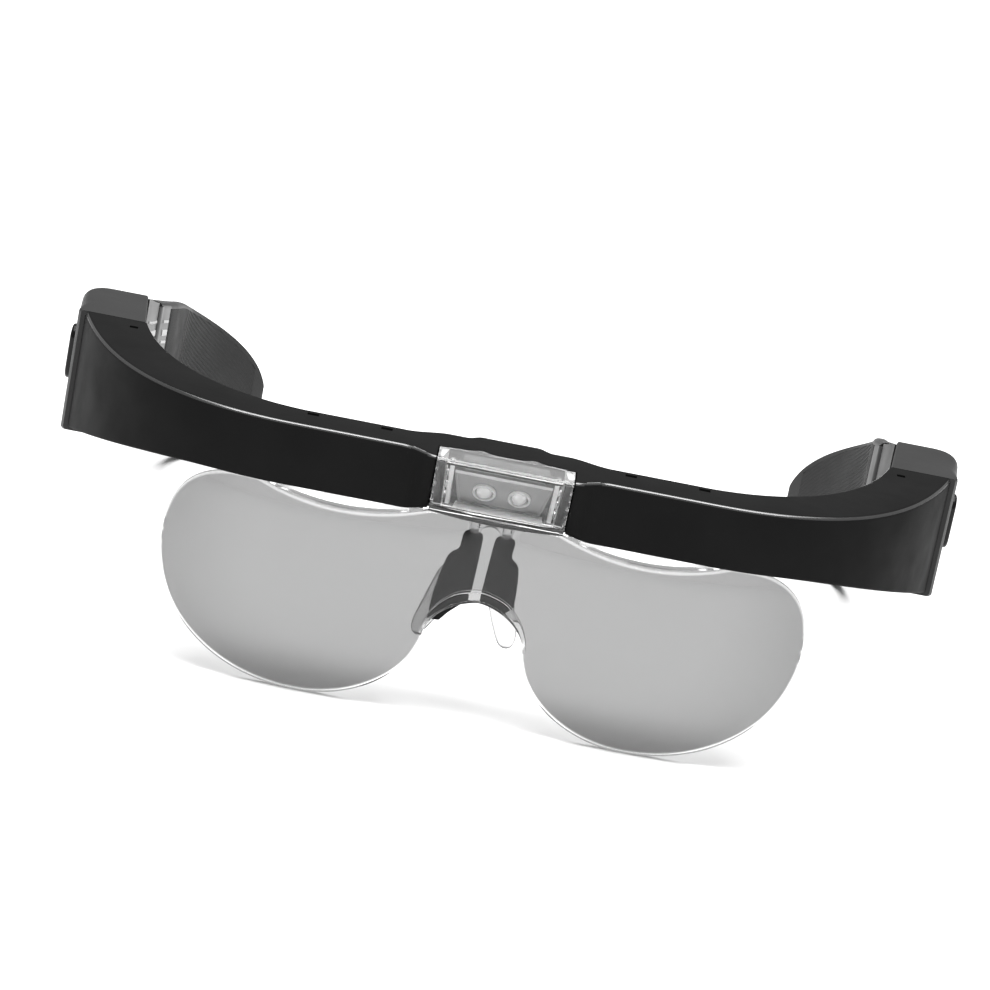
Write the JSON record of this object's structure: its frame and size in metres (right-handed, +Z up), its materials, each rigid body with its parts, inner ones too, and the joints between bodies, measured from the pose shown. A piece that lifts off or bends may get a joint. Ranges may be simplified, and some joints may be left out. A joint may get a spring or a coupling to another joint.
{
  "type": "head visor magnifier",
  "caption": "Brow-bar magnifier visor with a centre lamp, clip-in two-lobed lens, nose pads and inward-folding side arms.",
  "frame": {"origin": "on the floor under the middle of the part: lens lobes and arm tips stand on z = 0", "axes": "+X to the right seen from the front, along the brow bar; +Y from the lamp towards the wearer and the arm tips; +Z up, square to the bar's flat top"},
  "size_m": [0.176, 0.1555, 0.0524],
  "materials": {
    "bar_black": "satin moulded black plastic",
    "arm_black": "soft satin black plastic",
    "grip_black": "matt black rubber with fine ribs",
    "gloss_black": "polished black plastic",
    "clear_plastic": "clear polished plastic",
    "lens_clear": "optically clear polished acrylic",
    "silicone": "translucent soft silicone",
    "reflector_grey": "satin grey plastic",
    "board_dark": "circuit board under dark solder mask",
    "cell_silver": "foil wrapped cell",
    "steel": "bright steel"
  },
  "bodies": {
    "frame": {"front_frame": "bar_black", "rear_cover": "bar_black", "led_window": "clear_plastic", "reflector_panel": "reflector_grey", "led_left": "clear_plastic", "led_right": "clear_plastic", "led_board": "board_dark", "battery_cell": "cell_silver", "charge_board": "board_dark", "usb_socket": "steel", "switch_body": "gloss_black", "nose_bracket": "clear_plastic", "left_end_block": "arm_black", "left_button_spring": "steel", "left_hinge_pin": "steel", "right_end_block": "arm_black", "right_button_spring": "steel", "right_hinge_pin": "steel"},
    "lens": {"lens_panel": "lens_clear"},
    "switch": {"switch_slider": "gloss_black"},
    "left_arm": {"left_temple_arm": "arm_black", "left_arm_grip": "grip_black"},
    "left_button": {"left_release_button": "gloss_black"},
    "left_pad": {"left_nose_pad_arm": "grip_black", "left_nose_pad": "silicone"},
    "right_arm": {"right_temple_arm": "arm_black", "right_arm_grip": "grip_black"},
    "right_button": {"right_release_button": "gloss_black"},
    "right_pad": {"right_nose_pad_arm": "grip_black", "right_nose_pad": "silicone"}
  },
  "joints": [
    {"name": "lens_release", "type": "slide", "parent": "frame", "child": "lens", "axis": [0, 0, -1], "range_m": [0, 0.008]},
    {"name": "lamp_switch_slide", "type": "slide", "parent": "frame", "child": "switch", "axis": [0.6575, -0.7534, 0], "range_m": [0, 0.002]},
    {"name": "left_arm_fold", "type": "hinge", "parent": "frame", "child": "left_arm", "pos_m": [-0.07495, 0.0052, 0.0324], "axis": [0, 0, -1], "range_deg": [-6.8, 73]},
    {"name": "left_button_press", "type": "slide", "parent": "frame", "child": "left_button", "axis": [1, 0, 0], "range_m": [0, 0.0008], "stiffness_N_per_m": 400, "deforming": ["left_button_spring"]},
    {"name": "left_pad_swivel", "type": "hinge", "parent": "frame", "child": "left_pad", "pos_m": [-0.0035, -0.0644, 0.0354], "axis": [0, 0, -1], "range_deg": [-12, 12]},
    {"name": "right_arm_fold", "type": "hinge", "parent": "frame", "child": "right_arm", "pos_m": [0.07495, 0.0052, 0.0324], "axis": [0, 0, 1], "range_deg": [0, 80]},
    {"name": "right_button_press", "type": "slide", "parent": "frame", "child": "right_button", "axis": [-1, 0, 0], "range_m": [0, 0.0008], "stiffness_N_per_m": 400, "deforming": ["right_button_spring"]},
    {"name": "right_pad_swivel", "type": "hinge", "parent": "frame", "child": "right_pad", "pos_m": [0.0025, -0.0644, 0.0354], "axis": [0, 0, 1], "range_deg": [-12, 12]}
  ]
}
